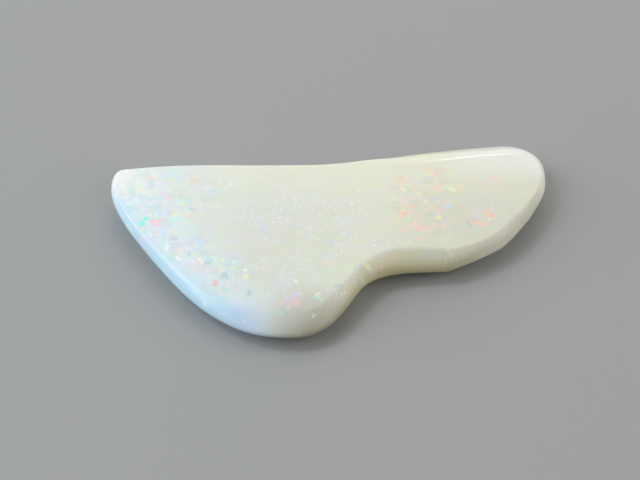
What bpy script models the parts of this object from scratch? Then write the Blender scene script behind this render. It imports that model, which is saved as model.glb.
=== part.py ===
# A polished freeform of white opal: one thin, flat-lying stone with a long pointed end, a rounded toe,
# a notch beside the toe and a rounded far end.
#
# The stone rests on its flat base at z = 0. The origin is under the middle of its outline, +X runs along
# its length to the rounded end, +Y runs to its long straight back edge, and +Z is up. All sizes are metres.
#
# Seen from above, the girdle is the widest line round the stone. Above it the rim is ground up to the edge
# of the face, and below it the stone is undercut down to the edge of the base. Both grinds follow a
# parabola: upright at the girdle, then leaning in. A height depends on how far a point lies in from the
# girdle, and on how wide the rim was ground on that stretch.

import math

import bmesh
import bpy
import numpy as np
from mathutils import geometry

MM = 0.001

GIRDLE_HEIGHT = 1.1 * MM
CROWN_HEIGHT = 2.3 * MM

# The face is a very low dome, given by its highest place and its radii along and across the stone.
CROWN_X = -1.0 * MM
CROWN_Y = 1.5 * MM
CROWN_RADIUS_ALONG = 360 * MM
CROWN_RADIUS_ACROSS = 130 * MM

# Places on the girdle, anticlockwise from the point, each with the width of the rim above it, the softness
# of the edge between rim and face, and the width of the undercut below it.
RIM, SOFTNESS, UNDERCUT = 2, 3, 4
GIRDLE = (
    # x, y, rim, softness, undercut
    (-14.5, 5.85, 0.6, 0.30, 0.8),  # the point
    (-14.75, 4.9, 0.5, 0.30, 0.8),
    (-14.35, 2.85, 0.35, 0.14, 0.9),
    (-13.0, 0.22, 0.25, 0.06, 1.2),
    (-10.54, -3.39, 0.3, 0.04, 1.5),  # long edge from the point to the toe
    (-8.08, -6.33, 0.4, 0.04, 1.6),
    (-6.65, -7.5, 0.45, 0.10, 1.6),
    (-5.0, -8.4, 0.9, 0.40, 1.6),
    (-3.0, -8.8, 1.5, 0.50, 1.6),  # the toe
    (-0.9, -8.5, 1.25, 0.25, 1.6),
    (0.5, -7.25, 0.9, 0.12, 1.5),
    (1.5, -5.57, 0.65, 0.08, 1.4),
    (2.5, -4.22, 0.65, 0.06, 1.4),  # the notch
    (3.95, -3.55, 1.0, 0.05, 1.4),
    (6.4, -3.3, 1.0, 0.05, 1.4),
    (7.4, -3.26, 0.85, 0.05, 1.4),  # corner where the notch ends
    (7.85, -3.11, 0.7, 0.05, 1.4),
    (9.15, -2.4, 0.4, 0.06, 1.4),
    (11.15, -1.1, 0.5, 0.08, 1.4),
    (12.9, 1.1, 0.4, 0.10, 1.4),
    (14.3, 3.6, 0.3, 0.15, 1.4),
    (14.75, 5.85, 0.45, 0.30, 1.4),  # the rounded end
    (14.45, 7.55, 0.8, 0.45, 1.4),
    (13.25, 8.65, 1.1, 0.40, 1.4),
    (11.0, 8.72, 1.1, 0.25, 1.4),
    (7.6, 8.25, 0.9, 0.15, 1.4),  # the long back edge
    (5.1, 7.71, 0.85, 0.13, 1.4),
    (3.3, 7.2, 0.85, 0.12, 1.4),
    (0.4, 6.48, 0.75, 0.08, 1.4),
    (-2.3, 6.26, 0.7, 0.08, 1.4),
    (-6.6, 6.31, 0.7, 0.08, 1.4),
    (-11.0, 6.36, 0.7, 0.10, 1.2),
    (-13.6, 6.14, 0.65, 0.20, 0.9),
)

# Bevels lapped across the face: a place on the bevel's edge, the way it falls, its slope, its softness,
# and how far it runs to either side before it lifts off the face.
BEVELS = (
    # x, y, falls towards (degrees from +X), slope (degrees), softness, reach
    (9.5, 6.9, 96, 17, 0.12, 4.0),  # back edge, next to the rounded end
    (13.2, 5.5, 25, 7, 0.25, 20.0),  # the rounded end
    (-3.0, -6.0, 262, 8, 0.30, 20.0),  # the toe
    (-9.5, 2.0, 190, 4, 0.30, 20.0),  # the point
)
BEVEL_LIFT_RADIUS = 20 * MM  # of the curve in which a bevel lifts off past its reach

RIM_BLEND = 0.4 * MM  # distance over which one stretch of the rim passes into the next
BASE_SOFTNESS = 0.08  # of the edge between the undercut and the base

# How fine the mesh is. The steps are shares of the rim's or the undercut's width: the wall's rise by the
# same height each, and the edge's lead across the rounded edge on to the face or the base.
GIRDLE_POINTS = 150
SPLINE_STEPS = 40
WALL_STEPS = (0.04, 0.16, 0.36)
EDGE_STEPS = (0.64, 1.0, 1.5)
FACE_SPACING = 0.8 * MM
BASE_SPACING = 1.6 * MM
CROWDED = 0.02  # an edge row's point this share of the width nearer to another stretch is left out
SHARP_ANGLE = math.radians(25)

OPAL_COLOUR = (0.78, 0.79, 0.72, 1.0)


def clear_scene():
    for old in list(bpy.data.objects):
        bpy.data.objects.remove(old, do_unlink=True)


def smooth_min(a, b, softness):
    """The lower of a and b, rounded where they meet."""
    near = np.clip(softness - np.abs(a - b), 0, None)
    return np.minimum(a, b) - near**2 / (4 * softness)


def closed_spline(knots, count):
    """Rows spaced evenly along the smooth closed curve through the knots, whose first columns are x and y."""
    total = len(knots)
    chord = np.linalg.norm(np.roll(knots[:, :2], -1, axis=0) - knots[:, :2], axis=1)
    system = np.zeros((total, total))
    wanted = np.zeros_like(knots)
    for i in range(total):
        before, after = i - 1, (i + 1) % total
        system[i, before] = chord[i]
        system[i, i] = 2 * (chord[before] + chord[i])
        system[i, after] = chord[before]
        wanted[i] = 3 * (
            chord[i] / chord[before] * (knots[i] - knots[before])
            + chord[before] / chord[i] * (knots[after] - knots[i])
        )
    slope = np.linalg.solve(system, wanted)

    fine = []
    for i in range(total):
        after = (i + 1) % total
        for share in np.linspace(0, 1, SPLINE_STEPS, endpoint=False):
            start, end = share**3 * 2 - share**2 * 3 + 1, share**2 * 3 - share**3 * 2
            leave, arrive = share**3 - share**2 * 2 + share, share**3 - share**2
            fine.append(
                start * knots[i]
                + end * knots[after]
                + chord[i] * (leave * slope[i] + arrive * slope[after])
            )
    fine = np.array(fine + fine[:1])
    run = np.linalg.norm(np.diff(fine[:, :2], axis=0), axis=1).cumsum()
    run = np.concatenate([[0], run])
    even = np.linspace(0, run[-1], count, endpoint=False)
    return np.column_stack([np.interp(even, run, column) for column in fine.T])


def girdle_loop():
    """The girdle as rows of x, y, rim width, softness and undercut, centred on the origin."""
    knots = np.array(GIRDLE)
    knots[:, [0, 1, RIM, UNDERCUT]] *= MM
    loop = closed_spline(knots, GIRDLE_POINTS)
    loop[:, :2] -= (loop[:, :2].min(axis=0) + loop[:, :2].max(axis=0)) / 2
    return loop


def inward(loop):
    """Unit normals that point into the stone from an anticlockwise loop."""
    along = np.roll(loop[:, :2], -1, axis=0) - np.roll(loop[:, :2], 1, axis=0)
    along /= np.linalg.norm(along, axis=1)[:, None]
    return np.column_stack([-along[:, 1], along[:, 0]])


def rim_at(points, loop):
    """For each point, how far it lies in from the girdle, and the rim width, softness and undercut there."""
    start = loop[:, :2]
    side = np.roll(start, -1, axis=0) - start
    offset = points[:, None, :] - start[None]
    share = np.clip((offset * side).sum(axis=2) / (side**2).sum(axis=1), 0, 1)
    depth = np.linalg.norm(offset - share[..., None] * side, axis=2).min(axis=1)
    away = np.linalg.norm(offset, axis=2)
    weight = np.exp(-(away - away.min(axis=1, keepdims=True)) / RIM_BLEND)
    blended = weight @ loop[:, 2:] / weight.sum(axis=1, keepdims=True)
    return depth, blended[:, 0], blended[:, 1], blended[:, 2]


def dome_height(x, y):
    return (
        CROWN_HEIGHT
        - (x - CROWN_X) ** 2 / (2 * CROWN_RADIUS_ALONG)
        - (y - CROWN_Y) ** 2 / (2 * CROWN_RADIUS_ACROSS)
    )


def crown_height(points):
    """The height of the face alone: the low dome with the bevels lapped across it."""
    x, y = points.T
    height = dome_height(x, y)
    for edge_x, edge_y, towards, slope, softness, reach in BEVELS:
        towards, fall = math.radians(towards), math.tan(math.radians(slope))
        past = (x - edge_x * MM) * math.cos(towards) + (y - edge_y * MM) * math.sin(towards)
        along = (y - edge_y * MM) * math.cos(towards) - (x - edge_x * MM) * math.sin(towards)
        lift = np.clip(np.abs(along) - reach * MM, 0, None) ** 2 / (2 * BEVEL_LIFT_RADIUS)
        bevel = dome_height(edge_x * MM, edge_y * MM) - past * fall + lift
        height = smooth_min(height, bevel, softness * MM)
    return height


def top_height(points, loop):
    """The height of the ground rim and the face above the girdle."""
    depth, rim, softness, _ = rim_at(points, loop)
    climbed = smooth_min(np.sqrt(depth / rim), 1.0, softness)
    return GIRDLE_HEIGHT + (crown_height(points) - GIRDLE_HEIGHT) * climbed


def under_height(points, loop):
    """The height of the undercut and the flat base below the girdle."""
    depth, _, _, undercut = rim_at(points, loop)
    dropped = smooth_min(np.sqrt(depth / undercut), 1.0, BASE_SOFTNESS)
    return GIRDLE_HEIGHT * (1 - dropped)


def inner_points(loop, side, spacing):
    """Points inside the wall: rows along the rim's or the undercut's edge, then an even triangular grid."""
    normals = inward(loop)
    width = loop[:, side]
    found = []
    for step in EDGE_STEPS:
        row = loop[:, :2] + normals * (width * step)[:, None]
        depth = rim_at(row, loop)[0]
        found.append(row[np.abs(depth - width * step) < CROWDED * width])
    low, high = loop[:, :2].min(axis=0), loop[:, :2].max(axis=0)
    rows = np.arange(low[1], high[1], spacing * math.sqrt(3) / 2)
    for i, y in enumerate(rows):
        x = np.arange(low[0] + spacing / 2 * (i % 2), high[0], spacing)
        row = np.column_stack([x, np.full_like(x, y)])
        nearest = np.linalg.norm(row[:, None] - loop[None, :, :2], axis=2).argmin(axis=1)
        inside = ((row - loop[nearest, :2]) * normals[nearest]).sum(axis=1) > 0
        clear = rim_at(row, loop)[0] > width[nearest] * EDGE_STEPS[-1] + 0.4 * spacing
        found.append(row[inside & clear])
    return np.vstack(found)


def grow_ring(bm, ring, places):
    """Extrudes a closed ring of points and moves the new ring to its places."""
    edges = [bm.edges.get((ring[i - 1], ring[i])) for i in range(len(ring))]
    grown = bmesh.ops.extrude_edge_only(bm, edges=edges)["geom"]
    copies = {tuple(item.co): item for item in grown if isinstance(item, bmesh.types.BMVert)}
    new_ring = [copies[tuple(vert.co)] for vert in ring]
    for vert, place in zip(new_ring, places):
        vert.co = place
    return new_ring


def close_ring(bm, ring, inner, height, loop):
    """Fills a ring with triangles through the inner points, each at its own height."""
    flat = [tuple(vert.co.xy) for vert in ring] + [tuple(point) for point in inner]
    border = [(i, (i + 1) % len(ring)) for i in range(len(ring))]
    points, _, faces, came_from, _, _ = geometry.delaunay_2d_cdt(flat, border, [], 1, 1e-8)
    heights = height(np.array([tuple(point) for point in points]), loop)
    verts = [
        ring[source[0]] if source[0] < len(ring) else bm.verts.new((*point, z))
        for point, z, source in zip(points, heights, came_from)
    ]
    for face in faces:
        bm.faces.new([verts[i] for i in face])


def grind_side(bm, girdle, loop, side, height, spacing):
    """Builds all that is above or below the girdle: the steep wall in rings, then the face or the base."""
    ring = girdle
    for step in WALL_STEPS:
        place = loop[:, :2] + inward(loop) * (loop[:, side] * step)[:, None]
        ring = grow_ring(bm, ring, np.column_stack([place, height(place, loop)]))
    close_ring(bm, ring, inner_points(loop, side, spacing), height, loop)


def opal_material():
    material = bpy.data.materials.new("white_opal")
    material.use_nodes = True
    shader = material.node_tree.nodes["Principled BSDF"]
    shader.inputs["Base Color"].default_value = OPAL_COLOUR
    shader.inputs["Roughness"].default_value = 0.12
    shader.inputs["Metallic"].default_value = 0.0
    shader.inputs["IOR"].default_value = 1.45
    return material


def build_stone():
    loop = girdle_loop()
    bm = bmesh.new()
    girdle = [bm.verts.new((x, y, GIRDLE_HEIGHT)) for x, y in loop[:, :2]]
    for i in range(len(girdle)):
        bm.edges.new((girdle[i - 1], girdle[i]))
    grind_side(bm, girdle, loop, RIM, top_height, FACE_SPACING)
    grind_side(bm, girdle, loop, UNDERCUT, under_height, BASE_SPACING)
    bmesh.ops.recalc_face_normals(bm, faces=bm.faces[:])

    mesh = bpy.data.meshes.new("opal_stone")
    bm.to_mesh(mesh)
    bm.free()
    mesh.shade_smooth()
    mesh.set_sharp_from_angle(angle=SHARP_ANGLE)
    mesh.materials.append(opal_material())
    stone = bpy.data.objects.new("opal_stone", mesh)
    bpy.context.scene.collection.objects.link(stone)


clear_scene()
build_stone()
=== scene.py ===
import math

import bmesh
import bpy
import numpy as np
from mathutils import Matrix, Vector, geometry, noise


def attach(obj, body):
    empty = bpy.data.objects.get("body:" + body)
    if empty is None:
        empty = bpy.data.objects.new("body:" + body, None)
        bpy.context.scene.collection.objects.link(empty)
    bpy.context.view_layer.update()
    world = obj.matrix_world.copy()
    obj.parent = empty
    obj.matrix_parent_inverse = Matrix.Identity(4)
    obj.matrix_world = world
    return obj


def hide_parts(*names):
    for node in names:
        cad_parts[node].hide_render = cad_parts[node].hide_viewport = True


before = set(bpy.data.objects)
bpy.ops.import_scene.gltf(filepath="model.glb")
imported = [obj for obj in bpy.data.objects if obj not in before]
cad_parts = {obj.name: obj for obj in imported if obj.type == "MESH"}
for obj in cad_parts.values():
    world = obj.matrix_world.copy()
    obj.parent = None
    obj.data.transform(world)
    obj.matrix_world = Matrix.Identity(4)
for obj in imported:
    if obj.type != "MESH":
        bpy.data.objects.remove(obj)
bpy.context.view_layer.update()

MM = 0.001


# The view
# The camera stands in front of the stone and looks down on it at 44 degrees, close enough for the far edge
# to draw in a little. Its aim is a touch left and short of the stone's middle, as the stone is framed.

aim = Vector((-0.635, -0.66, 1.2)) * MM
look_down = math.radians(44)
eye_distance = 77 * MM
eye = bpy.data.objects.new("camera", bpy.data.cameras.new("camera"))
eye.location = aim + Vector((0, -math.cos(look_down), math.sin(look_down))) * eye_distance
eye.rotation_euler = (math.pi / 2 - look_down, 0, 0)
eye.data.sensor_fit = "HORIZONTAL"
eye.data.angle = math.radians(30)
eye.data.clip_start = 1 * MM
eye.data.clip_end = 10.0
bpy.context.scene.collection.objects.link(eye)
bpy.context.scene.camera = eye


# The opal
# One loose piece of milky white opal, sawn thin and ground by hand to a free outline that follows the
# colour: a long point, a rounded toe with a notch beside it, a rounded end. The face is polished to a very
# low dome with bevels lapped across it, the rim leans in to a crisp edge, and the underside is cut under.

girdle_height = 1.1 * MM
crown_height = 2.3 * MM
crown_middle = (-1.0 * MM, 1.5 * MM)
crown_radii = (360 * MM, 130 * MM)

# Places on the girdle in millimetres, anticlockwise from the point: x, y, the rim's width, the softness of
# its edge as a share of that width, and the width of the undercut.
RIM, UNDERCUT = 2, 4
girdle_places = (
    (-14.5, 5.85, 0.6, 0.30, 0.8),
    (-14.75, 4.9, 0.5, 0.30, 0.8),
    (-14.35, 2.85, 0.35, 0.14, 0.9),
    (-13.0, 0.22, 0.25, 0.06, 1.2),
    (-10.54, -3.39, 0.3, 0.04, 1.5),
    (-8.08, -6.33, 0.4, 0.04, 1.6),
    (-6.65, -7.5, 0.45, 0.10, 1.6),
    (-5.0, -8.4, 0.9, 0.40, 1.6),
    (-3.0, -8.8, 1.5, 0.50, 1.6),
    (-0.9, -8.5, 1.25, 0.25, 1.6),
    (0.5, -7.25, 0.9, 0.12, 1.5),
    (1.5, -5.57, 0.65, 0.08, 1.4),
    (2.5, -4.22, 0.65, 0.06, 1.4),
    (3.95, -3.55, 1.0, 0.05, 1.4),
    (6.4, -3.3, 1.0, 0.05, 1.4),
    (7.4, -3.26, 0.85, 0.05, 1.4),
    (7.85, -3.11, 0.7, 0.05, 1.4),
    (9.15, -2.4, 0.4, 0.06, 1.4),
    (11.15, -1.1, 0.5, 0.08, 1.4),
    (12.9, 1.1, 0.4, 0.10, 1.4),
    (14.3, 3.6, 0.3, 0.15, 1.4),
    (14.75, 5.85, 0.45, 0.30, 1.4),
    (14.45, 7.55, 0.8, 0.45, 1.4),
    (13.25, 8.65, 1.1, 0.40, 1.4),
    (11.0, 8.72, 1.1, 0.25, 1.4),
    (7.6, 8.25, 0.9, 0.15, 1.4),
    (5.1, 7.71, 0.85, 0.13, 1.4),
    (3.3, 7.2, 0.85, 0.12, 1.4),
    (0.4, 6.48, 0.75, 0.08, 1.4),
    (-2.3, 6.26, 0.7, 0.08, 1.4),
    (-6.6, 6.31, 0.7, 0.08, 1.4),
    (-11.0, 6.36, 0.7, 0.10, 1.2),
    (-13.6, 6.14, 0.65, 0.20, 0.9),
)

# Stretches of the girdle that were ground flat, from corner to corner, and how flat each came out.
flats = (
    ((-1.2, -8.75), (0.1, -7.9), 0.3),
    ((0.1, -7.9), (1.3, -5.95), 0.12),
    ((1.3, -5.95), (2.2, -4.6), 0.12),
    ((5.0, -3.5), (7.62, -3.24), 0.9),
    ((7.62, -3.24), (9.5, -2.2), 0.9),
    ((9.5, -2.2), (11.2, -1.1), 0.4),
    ((11.2, -1.1), (13.2, 1.45), 0.4),
    ((13.2, 1.45), (14.4, 3.8), 0.4),
)

# Bevels lapped across the face: x, y, the way each falls, its slope, its softness, and how far it runs to
# either side before it lifts off the face in a wide arc.
bevels = (
    (9.5, 6.9, 96, 17, 0.12, 4.0),
    (13.2, 5.5, 25, 7, 0.25, 20.0),
    (-3.0, -6.0, 262, 8, 0.30, 20.0),
    (-9.5, 2.0, 190, 4, 0.30, 20.0),
)
bevel_lift_radius = 20 * MM

# Small damage: x, y, length, width, the way it runs and its depth. A chip in the edge over the notch's far
# corner, three scratches where the toe's edge fades, and a few pits that the polish did not reach.
marks = (
    (7.39, -2.42, 0.16, 0.10, 20, 0.07),
    (-1.1, -7.55, 0.40, 0.08, 33, 0.05),
    (0.45, -6.1, 0.55, 0.08, 38, 0.05),
    (0.95, -5.45, 0.30, 0.07, 55, 0.04),
    (-8.6, -5.3, 0.14, 0.07, -40, 0.02),
    (10.6, -0.5, 0.14, 0.08, 40, 0.02),
    (12.6, 1.9, 0.12, 0.07, 60, 0.02),
    (3.0, 3.1, 0.10, 0.07, 10, 0.01),
    (-4.2, 1.2, 0.09, 0.06, 80, 0.01),
)


# How uneven the hand left it: the size of the bumps, their height or share, and a seed for their pattern.
girdle_waver = (1.3 * MM, 0.012 * MM, 3.0)
rim_waver = (1.6 * MM, 0.07, 2.0)
face_wavers = ((4.0 * MM, 0.007 * MM, 5.0), (1.3 * MM, 0.002 * MM, 8.0))

undercut_softness = 0.08
blend_reach = 0.4 * MM
girdle_points = 720


def smooth_min(a, b, softness):
    """The lower of the two, with the corner where they cross rounded off."""
    near = np.clip(softness - np.abs(a - b), 0, None)
    return np.minimum(a, b) - near**2 / (4 * softness)


def closed_spline(knots, count, steps_between=40):
    """Rows spaced evenly along the smooth closed curve through the knots."""
    total = len(knots)
    chord = np.linalg.norm(np.roll(knots[:, :2], -1, axis=0) - knots[:, :2], axis=1)
    system, wanted = np.zeros((total, total)), np.zeros_like(knots)
    for i in range(total):
        before, after = i - 1, (i + 1) % total
        system[i, before], system[i, after] = chord[i], chord[before]
        system[i, i] = 2 * (chord[before] + chord[i])
        wanted[i] = 3 * (
            chord[i] / chord[before] * (knots[i] - knots[before])
            + chord[before] / chord[i] * (knots[after] - knots[i])
        )
    slope = np.linalg.solve(system, wanted)
    fine = []
    for i in range(total):
        after = (i + 1) % total
        for share in np.linspace(0, 1, steps_between, endpoint=False):
            end = share**2 * (3 - 2 * share)
            leave, arrive = share * (1 - share) ** 2, share**2 * (share - 1)
            fine.append(
                (1 - end) * knots[i]
                + end * knots[after]
                + chord[i] * (leave * slope[i] + arrive * slope[after])
            )
    fine = np.array(fine + fine[:1])
    run = np.linalg.norm(np.diff(fine[:, :2], axis=0), axis=1).cumsum()
    run = np.concatenate([[0], run])
    even = np.linspace(0, run[-1], count, endpoint=False)
    return np.column_stack([np.interp(even, run, column) for column in fine.T])


def waver(points, size, height, seed):
    """Smooth unevenness, with bumps of about that size and height."""
    return height * np.array([noise.noise(Vector((x / size, y / size, seed))) for x, y in points])


def ground_girdle():
    """The girdle as the wheel left it, with its flats and a rim of uneven width, and the way in from it."""
    knots = np.array(girdle_places)
    knots[:, [0, 1, RIM, UNDERCUT]] *= MM
    loop = closed_spline(knots, girdle_points)
    loop[:, :2] -= (loop[:, :2].min(axis=0) + loop[:, :2].max(axis=0)) / 2
    along = np.roll(loop[:, :2], -1, axis=0) - np.roll(loop[:, :2], 1, axis=0)
    along /= np.linalg.norm(along, axis=1)[:, None]
    inward = np.column_stack([-along[:, 1], along[:, 0]])
    for *corners, how_flat in flats:
        first, last = [np.linalg.norm(loop[:, :2] / MM - corner, axis=1).argmin() for corner in corners]
        share = np.linspace(0, 1, last - first + 1)[:, None]
        chord = (1 - share) * loop[first, :2] + share * loop[last, :2]
        loop[first:last + 1, :2] += how_flat * (chord - loop[first:last + 1, :2])
    loop[:, :2] += inward * waver(loop[:, :2], *girdle_waver)[:, None]
    loop[:, RIM] *= 1 + waver(loop[:, :2], *rim_waver)
    return loop, inward


def rim_at(points, loop):
    """How far each point lies in from the girdle, and the rim width, softness and undercut there.

    The three are blended from the nearest places on the girdle. Batches keep the tables small.
    """
    batch_size = 1000
    start = loop[:, :2]
    side = np.roll(start, -1, axis=0) - start
    found = []
    for batch in np.array_split(points, len(points) // batch_size + 1):
        offset = batch[:, None, :] - start[None]
        share = np.clip((offset * side).sum(axis=2) / (side**2).sum(axis=1), 0, 1)
        depth = np.linalg.norm(offset - share[..., None] * side, axis=2).min(axis=1)
        away = np.linalg.norm(offset, axis=2)
        weight = np.exp(-(away - away.min(axis=1, keepdims=True)) / blend_reach)
        blended = weight @ loop[:, RIM:] / weight.sum(axis=1, keepdims=True)
        found.append(np.column_stack([depth, blended]))
    return np.vstack(found).T


def face_height(points):
    """The polished face alone: the dome, the bevels, the soft unevenness of hand polishing and the marks."""
    x, y = points.T

    def dome(x, y):
        along, across = x - crown_middle[0], y - crown_middle[1]
        return crown_height - along**2 / (2 * crown_radii[0]) - across**2 / (2 * crown_radii[1])

    height = dome(x, y)
    for edge_x, edge_y, towards, slope, softness, reach in bevels:
        towards, fall = math.radians(towards), math.tan(math.radians(slope))
        past = (x - edge_x * MM) * math.cos(towards) + (y - edge_y * MM) * math.sin(towards)
        along = (y - edge_y * MM) * math.cos(towards) - (x - edge_x * MM) * math.sin(towards)
        lift = np.clip(np.abs(along) - reach * MM, 0, None) ** 2 / (2 * bevel_lift_radius)
        height = smooth_min(height, dome(edge_x * MM, edge_y * MM) - past * fall + lift, softness * MM)
    height += sum(waver(points, *face_waver) for face_waver in face_wavers)
    for mark_x, mark_y, length, width, way, deep in marks:
        way = math.radians(way)
        along = (x - mark_x * MM) * math.cos(way) + (y - mark_y * MM) * math.sin(way)
        across = (y - mark_y * MM) * math.cos(way) - (x - mark_x * MM) * math.sin(way)
        height -= deep * MM * np.exp(-((along / (length * MM)) ** 2) - (across / (width * MM)) ** 2)
    return height


def top_height(points, loop):
    depth, rim, softness, _ = rim_at(points, loop)
    climbed = smooth_min(np.sqrt(depth / rim), 1.0, softness)
    return girdle_height + (face_height(points) - girdle_height) * climbed


def under_height(points, loop):
    depth, _, _, undercut = rim_at(points, loop)
    return girdle_height * (1 - smooth_min(np.sqrt(depth / undercut), 1.0, undercut_softness))


def grind_side(bm, girdle, loop, normals, side, height, steps, spacing):
    """Everything above or below the girdle: the wall in rings, then a fine triangle net over the rest.

    Steps are shares of the wall's width, closest together at the girdle, where the wall is steepest. In the
    notch, points that would land nearer to another stretch of the girdle are left out.
    """
    width, ring = loop[:, side], girdle
    for step in wall_steps:
        place = loop[:, :2] + normals * (width * step)[:, None]
        edges = [bm.edges.get((ring[i - 1], ring[i])) for i in range(len(ring))]
        grown = bmesh.ops.extrude_edge_only(bm, edges=edges)["geom"]
        copies = {tuple(item.co): item for item in grown if isinstance(item, bmesh.types.BMVert)}
        ring = [copies[tuple(vert.co)] for vert in ring]
        for vert, xy, z in zip(ring, place, height(place, loop)):
            vert.co = (*xy, z)

    inner = [place]
    for step in steps:
        row = loop[:, :2] + normals * (width * step)[:, None]
        inner.append(row[np.abs(rim_at(row, loop)[0] - width * step) < 0.02 * width])
    low, high = loop[:, :2].min(axis=0), loop[:, :2].max(axis=0)
    for i, y in enumerate(np.arange(low[1], high[1], spacing * math.sqrt(3) / 2)):
        x = np.arange(low[0] + spacing / 2 * (i % 2), high[0], spacing)
        row = np.column_stack([x, np.full_like(x, y)])
        nearest = np.linalg.norm(row[:, None] - loop[None, :, :2], axis=2).argmin(axis=1)
        inside = ((row - loop[nearest, :2]) * normals[nearest]).sum(axis=1) > 0
        clear = rim_at(row, loop)[0] > width[nearest] * steps[-1] + 0.4 * spacing
        inner.append(row[inside & clear])
    flat = [tuple(point) for point in np.vstack(inner)]
    border = [(i, (i + 1) % len(ring)) for i in range(len(ring))]
    points, _, faces, came_from, _, _ = geometry.delaunay_2d_cdt(flat, border, [], 1, 1e-9)
    heights = height(np.array([tuple(point) for point in points]), loop)
    verts = [
        ring[source[0]] if source[0] < len(ring) else bm.verts.new((*point, z))
        for point, z, source in zip(points, heights, came_from)
    ]
    for face in faces:
        bm.faces.new([verts[i] for i in face])


wall_steps = (0.01, 0.04, 0.09, 0.16, 0.25, 0.36, 0.49)
crease_steps = (0.64, 0.8, 0.92, 1.0, 1.08, 1.25, 1.6)
base_steps = (0.64, 0.8, 0.92, 1.0, 1.1, 1.25)
face_spacing, base_spacing = 0.17 * MM, 0.5 * MM

loop, normals = ground_girdle()
bm = bmesh.new()
girdle = [bm.verts.new((x, y, girdle_height)) for x, y in loop[:, :2]]
for i in range(len(girdle)):
    bm.edges.new((girdle[i - 1], girdle[i]))
grind_side(bm, girdle, loop, normals, RIM, top_height, crease_steps, face_spacing)
grind_side(bm, girdle, loop, normals, UNDERCUT, under_height, base_steps, base_spacing)
bmesh.ops.recalc_face_normals(bm, faces=bm.faces[:])
opal_mesh = bpy.data.meshes.new("opal")
bm.to_mesh(opal_mesh)
bm.free()
opal_mesh.shade_smooth()
opal = bpy.data.objects.new("opal", opal_mesh)
bpy.context.scene.collection.objects.link(opal)


class Wire:
    """An output in a material's node tree. Sums on it add Math nodes."""

    tree = None

    def __init__(self, socket):
        self.socket = socket

    @classmethod
    def node(cls, kind, settings=None, sockets=None, out=0):
        made = cls.tree.nodes.new("ShaderNode" + kind)
        for name, value in (settings or {}).items():
            if name == "stops":
                for i, (place, colour) in enumerate(value):
                    stops = made.color_ramp.elements
                    stop = stops[i] if i < 2 else stops.new(place)
                    stop.position, stop.color = place, (*colour, 1.0)
            else:
                setattr(made, name, value)
        for name, value in (sockets or {}).items():
            if isinstance(value, Wire):
                cls.tree.links.new(value.socket, made.inputs[name])
            else:
                made.inputs[name].default_value = value
        return cls(made.outputs[out])

    def sums(self, operation, first, second):
        return Wire.node("Math", {"operation": operation}, {0: first, 1: second})

    def __add__(self, other):
        return self.sums("ADD", self, other)

    def __radd__(self, other):
        return self.sums("ADD", other, self)

    def __sub__(self, other):
        return self.sums("SUBTRACT", self, other)

    def __rsub__(self, other):
        return self.sums("SUBTRACT", other, self)

    def __mul__(self, other):
        return self.sums("MULTIPLY", self, other)

    def __rmul__(self, other):
        return self.sums("MULTIPLY", other, self)


def rise(value, low, high):
    """0 below low, 1 above high, smooth between; falls instead where low is above high."""
    return Wire.node(
        "MapRange", {"interpolation_type": "SMOOTHSTEP"},
        {"Value": value, "From Min": low, "From Max": high},
    )


def tint(share, under, over):
    """The colour over laid on the colour under by that share."""
    under, over = [(*c, 1.0) if isinstance(c, tuple) else c for c in (under, over)]
    return Wire.node("Mix", {"data_type": "RGBA"}, {0: share, 6: under, 7: over}, 2)


def away_from(place, spot):
    """The distance from the spot."""
    return Wire.node("VectorMath", {"operation": "DISTANCE"}, {0: place, 1: spot}, "Value")


def split(vector):
    """Its x, y and z."""
    made = Wire.node("SeparateXYZ", sockets={0: vector}).socket.node
    return [Wire(output) for output in made.outputs]


white_opal = bpy.data.materials.new("white_opal")
white_opal.use_nodes = True
Wire.tree = white_opal.node_tree
polish = Wire.tree.nodes["Principled BSDF"]

# Everything in the stone is placed in millimetres from the stone's own origin. The swirl bends what is laid
# over it, so that no fleck has an even outline.
place = Wire.node("TexCoord", out="Object")
place = Wire.node("VectorMath", {"operation": "SCALE"}, {0: place, "Scale": 1000.0})
x, y, z = split(place)
flat = Wire.node("CombineXYZ", sockets={0: x, 1: y})
cloud = Wire.node("TexNoise", sockets={"Vector": place, "Scale": 0.35, "Detail": 3.0}, out="Fac")
veil = Wire.node("TexNoise", sockets={"Vector": place, "Scale": 1.1, "Detail": 3.0}, out="Fac")
grain = Wire.node("TexNoise", sockets={"Vector": place, "Scale": 4.5, "Detail": 2.0}, out="Fac")
swirl = Wire.node("TexNoise", sockets={"Vector": place, "Scale": 2.2, "Detail": 3.0}, out="Color")
swirl = Wire.node("VectorMath", {"operation": "SUBTRACT"}, {0: swirl, 1: (0.5, 0.5, 0.5)})

# The body is milk white: icy at the point, nearly neutral in the middle and cream at the far end and along
# the back, with faint clouds of lilac and yellow-green. At the point the white is partly painted light from
# the cool window on the left; along the back a painted sheen of the light behind brightens the cream.
stone_length = 29.5
along = x * (1 / stone_length) + 0.5 + (cloud - 0.5) * 0.2
body = Wire.node(
    "ValToRGB",
    {"stops": (
        (0.00, (0.98, 1.00, 0.99)),
        (0.14, (0.82, 0.88, 0.85)),
        (0.34, (0.76, 0.78, 0.69)),
        (0.60, (0.79, 0.80, 0.66)),
        (0.78, (0.74, 0.73, 0.59)),
        (1.00, (0.73, 0.72, 0.61)),
    )},
    {0: along},
)
# Painted sheen and cream: brighter towards the back, partly its own cream, partly the light behind reflected.
body = tint(rise(y, 0.0, 7.5) * rise(x, -11.0, -6.0) * 0.65, body, (0.93, 0.92, 0.72))
body = tint(rise(veil, 0.48, 0.70) * 0.22, body, (0.80, 0.78, 0.88))
body = tint(rise(veil, 0.50, 0.30) * 0.20, body, (0.84, 0.88, 0.66))
body = tint(rise(grain, 0.50, 0.75) * 0.18, body, (0.92, 0.92, 0.92))

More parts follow.
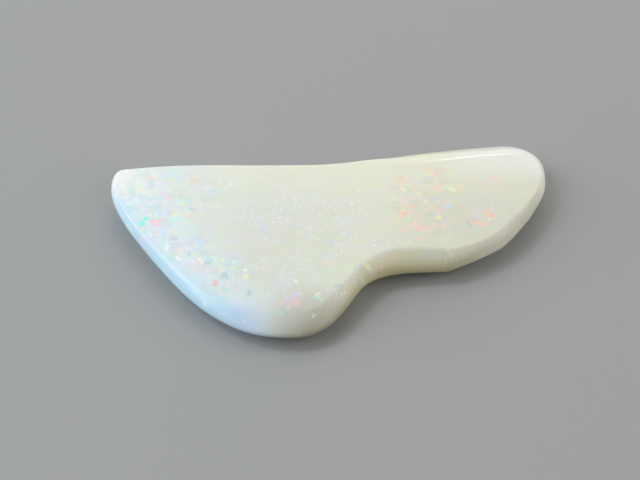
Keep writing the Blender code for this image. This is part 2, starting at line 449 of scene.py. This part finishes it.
# Pale specks, cream in one cloud and lilac in the next, are thick in the middle of the face.
specks = Wire.node("TexNoise", sockets={"Vector": place, "Scale": 4.5, "Detail": 4.0}, out="Fac")
specks = rise(specks, 0.53, 0.64) * rise(away_from(flat, (-1.5, -1.0, 0.0)), 7.5, 3.0)
speck_hue = tint(rise(cloud, 0.46, 0.54), (0.94, 0.93, 0.84), (0.90, 0.88, 0.95))
body = tint(specks * rise(veil, 0.38, 0.58) * 0.46, body, speck_hue)

# Painted shade makes the toe greyer. Low on it and on the notch's wall, painted shade turns the colour darker
# olive and amber, as light that comes through the stone would.
toe = rise(away_from(flat, (-1.2, -8.2, 0.0)), 3.4, 1.2)
body = tint(toe * 0.50, body, (0.52, 0.50, 0.43))
low_painted_shade = rise(z, 2.05, 1.10) * rise(x, -6.5, -1.5) * (1.0 - rise(x, 7.3, 10.5) * 0.88)
amber_painted_shade = tint(rise(x, 2.5, 0.0), (0.46, 0.40, 0.22), (0.41, 0.38, 0.27))
body = tint(low_painted_shade * (0.76 + rise(x, 2.5, 0.0) * 0.22), body, amber_painted_shade)

# Along the edge from the point to the toe, the blue of light scattered back from the cool light on the left
# is painted into the colour, most on the rim itself. There is a violet patch where the toe begins.
from_edge = away_from(flat, (10.4, 13.9, 0.0))
icy = rise(from_edge, 23.0, 26.3) * rise(x, 0.0, -6.0) * rise(y, 4.5, 1.5)
body = tint(icy * 0.6, body, (0.76, 0.90, 0.97))
blue_rim_painted_light = rise(from_edge, 25.8, 26.9) * rise(x, -3.0, -7.0) * (0.30 + rise(z, 2.1, 1.75) * 0.70)
body = tint(blue_rim_painted_light * rise(y, 4.2, 1.5) * 0.95, body, (0.57, 0.80, 1.00))
violet = rise(away_from(flat, (-5.2, -7.8, 0.0)), 1.8, 0.4)
body = tint(violet * 0.28, body, (0.58, 0.66, 1.00))

# At the far end a painted highlight makes the rim's foot nearly white, and a painted sheen makes the face
# towards the back corner nearly white too.
far_rim_painted_highlight = rise(x, 10.5, 13.0) * rise(y, 2.0, 4.5) * rise(z, 1.90, 1.72)
body = tint(far_rim_painted_highlight * 0.7, body, (0.96, 0.96, 0.93))
body = tint(rise(x, 7.0, 10.5) * rise(y, 3.8, 6.4) * 0.6, body, (0.95, 0.94, 0.88))

# The notch's wall is a little yellower. A greyer patch high on it ends in a thin pale line beside the corner.
wall = rise(z, 2.13, 2.0) * rise(y, -1.5, -2.5) * rise(x, 0.0, 2.5)
patch = rise(x, 4.6, 6.4) * rise(x, 7.42, 7.26) * rise(z, 1.5, 1.95)
body = tint(wall * rise(x, 7.6, 7.2) * 0.44, body, (0.71, 0.67, 0.37))
body = tint(wall * patch * 0.35, body, (0.68, 0.70, 0.76))
bent = x + (grain - 0.5) * 0.25
pale_line = rise(bent, 7.18, 7.26) * rise(bent, 7.36, 7.28) * wall * rise(z, 1.15, 1.5) * rise(z, 1.9, 1.7)
body = tint(pale_line * 0.22, body, (0.95, 0.95, 0.90))

# Pinfire: grains of ordered silica that each flash one colour, gathered in drifts near the point, along
# the lower edge and in the far half, very faint elsewhere. Each drift is x, y, radius and strength. The
# milk between the grains is clouded darker there.
drifts = (
    (-12.0, 3.2, 3.2, 0.8),
    (-11.4, -0.2, 2.6, 1.0),
    (-8.9, -2.6, 2.4, 0.9),
    (-6.4, -4.6, 2.3, 0.9),
    (-8.6, 2.6, 2.6, 0.7),
    (-2.8, -6.2, 1.6, 0.25),
    (-0.4, -6.1, 1.4, 0.06),
    (1.8, -4.0, 1.5, 0.4),
    (5.6, 0.3, 2.8, 1.0),
    (6.4, 3.4, 3.2, 1.0),
    (9.8, 0.5, 1.4, 1.0),
    (10.6, 4.2, 1.4, 0.5),
    (-1.5, -1.0, 6.0, 0.20),
)
drift = 0.06
for drift_x, drift_y, radius, strength in drifts:
    drift = drift + rise(away_from(flat, (drift_x, drift_y, 0.0)), radius, radius * 0.3) * strength
drift = Wire.node("Math", {"operation": "MINIMUM"}, {0: drift, 1: 1.0})
body = tint(drift * rise(veil, 0.52, 0.38) * 0.28, body, (0.62, 0.65, 0.59))
warm_end = rise(x, -1.0, 4.5)
icy_hues = (
    (0.00, (1.00, 0.66, 0.74)),
    (0.18, (1.00, 0.84, 0.76)),
    (0.34, (0.92, 0.97, 0.62)),
    (0.50, (0.58, 1.00, 0.78)),
    (0.66, (0.56, 0.95, 1.00)),
    (0.82, (0.60, 0.76, 0.98)),
    (1.00, (0.86, 0.74, 0.97)),
)
warm_hues = (
    (0.00, (1.00, 0.66, 0.62)),
    (0.22, (1.00, 0.74, 0.68)),
    (0.42, (1.00, 0.76, 0.55)),
    (0.60, (0.97, 0.94, 0.55)),
    (0.76, (0.70, 0.97, 0.62)),
    (0.88, (0.66, 0.76, 0.92)),
    (1.00, (0.88, 0.74, 0.86)),
)


def pinfire(body, size, bend, shift, presence, share):
    """Grains of that size laid over the body, each there or not by chance and each with its own hue."""
    where = Wire.node(
        "VectorMath", {"operation": "MULTIPLY_ADD"}, {0: swirl, 1: (bend, bend, bend), 2: place}
    )
    where = Wire.node("VectorMath", {"operation": "ADD"}, {0: where, 1: (shift, 2 * shift, 3 * shift)})
    cell = Wire.node("TexVoronoi", sockets={"Vector": where, "Scale": 1 / size})
    random = Wire.node("SeparateColor", sockets={0: Wire(cell.socket.node.outputs["Color"])})
    chance, hue, power = [Wire(output) for output in random.socket.node.outputs]
    there = rise(chance + presence, 1.0, 1.10) * rise(cell, 0.82, 0.30) * (0.3 + power * 0.7)
    colour = tint(
        warm_end,
        Wire.node("ValToRGB", {"stops": icy_hues}, {0: hue}),
        Wire.node("ValToRGB", {"stops": warm_hues}, {0: hue}),
    )
    return tint(there * share, body, colour)


# The grains by size, in millimetres: how far the swirl bends them, a shift that sets their pattern apart,
# how common they are in a drift and everywhere, and the share of colour at most.
grains = (
    (1.30, 1.6, 5.3, 0.65, 0.00, 0.28),
    (0.62, 1.0, 0.0, 0.56, 0.00, 0.56),
    (0.36, 0.6, 9.1, 0.46, 0.00, 0.46),
    (0.17, 0.2, 2.7, 0.26, 0.06, 0.28),
)
for size, bend, shift, in_drifts, everywhere, share in grains:
    body = pinfire(body, size, bend, shift, drift * in_drifts + everywhere, share)

# The larger flashes by hue: its colour, the share of it at most, and x, y and radius of each flash. The
# first are clouds rather than flashes. The white ones end in painted glints on the rim and painted highlights
# along the scratches. The grain makes each one uneven.
flashes_and_glints = (
    ((0.82, 0.80, 0.86), 0.45, (
        (-1.4, 1.1, 0.4), (1.3, 1.6, 0.6), (2.3, 0.0, 0.6), (-0.4, -3.1, 0.5), (0.7, -0.4, 0.5),
        (-3.4, -1.7, 0.45), (-0.9, -4.9, 0.45), (-4.6, 0.2, 0.5),
    )),
    ((0.78, 0.72, 0.88), 0.55, (
        (-2.15, -6.35, 0.3), (-2.6, -6.6, 0.3), (-3.3, -5.6, 0.3),
        (-5.9, -5.4, 0.32), (-9.9, -2.4, 0.26), (-2.1, -6.3, 0.26), (4.2, 3.2, 0.25), (-8.5, 3.5, 0.2),
        (3.1, -2.0, 0.23),
    )),
    ((0.45, 0.60, 0.71), 0.62, (
        (-9.9, -1.4, 0.26), (-7.6, -3.6, 0.26), (-6.5, -4.7, 0.29), (-8.9, 1.2, 0.21), (0.5, -5.6, 0.24),
        (8.9, -0.2, 0.2), (-8.8, -2.8, 0.2), (-5.0, -6.1, 0.22),
    )),
    ((1.00, 0.66, 0.69), 0.72, (
        (-11.4, 0.2, 0.24), (7.1, 4.8, 0.30), (7.3, 1.2, 0.2), (5.6, 0.1, 0.24), (-2.1, -6.8, 0.26),
        (-11.9, 4.5, 0.2), (5.8, 3.4, 0.2), (-10.9, 2.9, 0.14), (11.0, 4.5, 0.24), (-11.2, -0.7, 0.16),
        (5.7, -0.7, 0.26), (6.15, -0.75, 0.3),
    )),
    ((1.00, 0.72, 0.52), 0.78, (
        (-9.0, 0.6, 0.17), (5.0, 0.7, 0.2), (5.4, 1.4, 0.2), (5.8, -1.6, 0.22), (7.2, -0.5, 0.2),
        (-2.6, -7.2, 0.18), (-3.0, -6.8, 0.15), (3.2, -3.6, 0.13), (4.7, 4.2, 0.28), (-9.0, 4.0, 0.22),
        (7.9, 0.3, 0.15), (6.8, 3.1, 0.2), (4.0, -2.9, 0.16), (10.6, 0.8, 0.20),
    )),
    ((0.98, 0.98, 0.60), 0.80, (
        (2.25, -3.85, 0.22), (6.3, 1.9, 0.16), (8.1, 3.1, 0.24), (7.0, 0.4, 0.17), (4.9, 3.1, 0.17),
        (-9.6, 1.8, 0.2), (-6.7, -3.5, 0.2), (-0.75, -6.1, 0.20), (-5.2, -4.8, 0.2), (4.8, -1.9, 0.13),
        (-6.6, 3.6, 0.16), (-6.1, -4.1, 0.16), (-0.6, 0.6, 0.13), (1.5, 1.7, 0.12), (-4.3, -1.35, 0.11),
    )),
    ((0.50, 1.00, 0.62), 0.75, (
        (-11.8, 0.6, 0.2), (5.1, 0.1, 0.15), (7.7, 3.3, 0.18), (-0.6, -6.55, 0.08), (-6.7, -0.7, 0.15),
        (-9.6, 3.2, 0.18), (3.1, 0.1, 0.12), (-12.7, 3.7, 0.16), (-9.4, -1.0, 0.16),
    )),
    ((0.30, 0.96, 0.92), 0.95, (
        (-12.1, 0.15, 0.30), (-11.85, 0.5, 0.22), (-2.9, -7.5, 0.10), (-11.4, 1.5, 0.14),
        (-3.6, -8.4, 0.07), (-6.4, -5.8, 0.09),
    )),
    ((0.60, 0.80, 1.00), 0.72, (
        (7.8, 1.6, 0.2), (-6.1, -1.8, 0.2), (-5.1, -8.0, 0.14), (-2.25, -0.63, 0.16), (1.2, -1.25, 0.13),
        (1.66, -3.99, 0.2),
    )),
    ((1.00, 0.68, 0.57), 0.85, (
        (10.4, 0.7, 0.32), (10.2, 0.9, 0.24), (4.6, 0.7, 0.24), (9.3, 0.0, 0.2), (9.6, -0.1, 0.24),
        (9.9, -0.2, 0.2), (-4.3, -7.0, 0.14),
    )),
    ((1.00, 0.54, 0.50), 0.95, (
        (-7.0, -5.3, 0.22), (4.75, 0.65, 0.06), (10.45, 0.6, 0.12), (-4.3, -7.0, 0.07),
    )),
    ((1.00, 1.00, 0.93), 1.0, (
        (-9.5, -3.2, 0.19), (-9.3, -3.3, 0.12), (-8.6, -3.5, 0.15), (-8.1, -3.4, 0.14), (-7.9, -3.6, 0.1),
        (-10.4, -2.3, 0.14), (-10.1, -1.8, 0.08), (-5.9, -3.6, 0.1), (-5.2, -4.3, 0.12), (-7.4, -3.3, 0.08),
        (-11.5, -1.1, 0.12), (-13.9, 4.0, 0.16),
        (-13.5, 2.8, 0.15), (-13.2, 1.9, 0.14), (7.8, 1.95, 0.06), (-3.7, -6.2, 0.1), (-2.9, -6.0, 0.09),
        (-2.1, -5.2, 0.14), (-10.3, -2.0, 0.12), (-5.5, 0.5, 0.07), (-7.3, 0.1, 0.07), (0.4, -2.3, 0.05),
        (0.35, -2.2, 0.06), (0.75, -2.8, 0.08), (1.05, -2.7, 0.07), (0.35, -3.1, 0.08), (2.8, -2.1, 0.07),
        (0.3, 1.1, 0.08), (1.9, 3.1, 0.11), (-4.7, -0.3, 0.07), (-4.1, -1.8, 0.07), (3.65, -2.1, 0.06),
        # From (-7.87, -6.2) on, these are painted glints on the rim and painted highlights along the
        # scratches.
        (3.15, 0.0, 0.06), (1.0, 1.2, 0.06), (-7.87, -6.2, 0.07), (-7.62, -6.47, 0.10), (-7.4, -6.7, 0.08),
        (0.4, -6.15, 0.05), (0.65, -6.0, 0.05), (0.83, -5.83, 0.05), (-1.15, -7.6, 0.05), (-1.0, -7.48, 0.05),
        (-5.0, -8.0, 0.06), (11.3, -0.1, 0.05), (12.4, 1.2, 0.06), (12.95, 1.8, 0.05),
    )),
)
flash_dimming, flash_unevenness = -0.15, 1.2
ragged = Wire.node("VectorMath", {"operation": "MULTIPLY_ADD"}, {0: swirl, 1: (0.8, 0.8, 0.0), 2: flat})
for hue, share, spots in flashes_and_glints:
    lit = 0.0
    for spot_x, spot_y, radius in spots:
        lit = lit + rise(away_from(ragged, (spot_x, spot_y, 0.0)), radius * 1.35, radius * 0.4)
    body = tint(lit * (share + flash_dimming + (grain - 0.5) * flash_unevenness), body, hue)

Wire.tree.links.new(body.socket, polish.inputs["Base Color"])

# The polish is high but not perfect: it is a shade duller on the ground rim, and fine lap marks stay in it.
lap_marks = Wire.node("TexNoise", sockets={"Vector": place, "Scale": 9.0, "Detail": 4.0}, out="Fac")
gloss = 0.13 + (lap_marks - 0.5) * 0.10 + rise(z, 2.0, 1.6) * 0.06
Wire.tree.links.new(gloss.socket, polish.inputs["Roughness"])
ripple = Wire.node(
    "Bump", sockets={"Strength": 0.12, "Distance": 0.02 * MM, "Height": lap_marks}, out="Normal"
)
Wire.tree.links.new(ripple.socket, polish.inputs["Normal"])

# Light goes in a fraction of a millimetre before it comes out again, red the furthest.
polish.inputs["IOR"].default_value = 1.45
polish.subsurface_method = "RANDOM_WALK"
polish.inputs["Subsurface Weight"].default_value = 0.55
polish.inputs["Subsurface Radius"].default_value = (1.0, 0.75, 0.5)
polish.inputs["Subsurface Scale"].default_value = 0.8 * MM

opal_mesh.materials.append(white_opal)
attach(opal, "root")
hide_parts("opal_stone")


# The table and the light
# A plain pale table, wide enough for any view, and the soft light of a studio: a cool window to the left,
# a broad high panel to the right, weaker ones above and low behind, and two small lights that draw thin
# lines along the polished edges.

table = bpy.data.objects.new("table", bpy.data.meshes.new("table"))
reach = 1.5
corners = [(-reach, -reach, 0), (reach, -reach, 0), (reach, reach, 0), (-reach, reach, 0)]
table.data.from_pydata(corners, [], [(0, 1, 2, 3)])
bpy.context.scene.collection.objects.link(table)
table_top = bpy.data.materials.new("table_top")
table_top.use_nodes = True
table_paint = table_top.node_tree.nodes["Principled BSDF"]
table_paint.inputs["Base Color"].default_value = (0.38, 0.38, 0.375, 1.0)
table_paint.inputs["Roughness"].default_value = 0.65
table.data.materials.append(table_top)


def soft_panel(name, towards, distance, width, height, power, colour):
    """A softbox that far out in that direction, facing the stone. Metres and watts."""
    panel = bpy.data.lights.new(name, "AREA")
    panel.shape, panel.size, panel.size_y = "RECTANGLE", width, height
    panel.energy, panel.color = power, colour
    lamp = bpy.data.objects.new(name, panel)
    towards = Vector(towards).normalized()
    lamp.location = towards * distance
    lamp.rotation_euler = towards.to_track_quat("Z", "Y").to_euler()
    bpy.context.scene.collection.objects.link(lamp)


soft_panel("panel_above", (0.0, 0.55, 0.85), 0.5, 0.40, 0.40, 0.52, (1.0, 0.98, 0.94))
soft_panel("panel_behind", (0.15, 0.95, 0.28), 0.5, 0.60, 0.28, 0.46, (1.0, 0.99, 0.96))
soft_panel("window_left", (-0.95, -0.05, 0.42), 0.5, 0.50, 0.50, 2.32, (0.88, 0.95, 1.0))
soft_panel("panel_right", (1.00, -0.24, 0.55), 0.8, 0.90, 0.80, 3.50, (1.0, 0.99, 0.97))
soft_panel("strip_left", (-0.55, 0.17, 0.80), 0.5, 0.10, 0.10, 0.40, (0.95, 0.98, 1.0))
soft_panel("strip_behind", (0.18, 0.87, 0.46), 0.5, 0.07, 0.03, 0.04, (1.0, 1.0, 0.98))

surroundings = bpy.data.worlds.new("surroundings")
surroundings.use_nodes = True
surroundings.node_tree.nodes["Background"].inputs["Color"].default_value = (0.92, 0.95, 1.0, 1.0)
surroundings.node_tree.nodes["Background"].inputs["Strength"].default_value = 0.15
bpy.context.scene.world = surroundings
bpy.context.scene.view_settings.view_transform = "Standard"
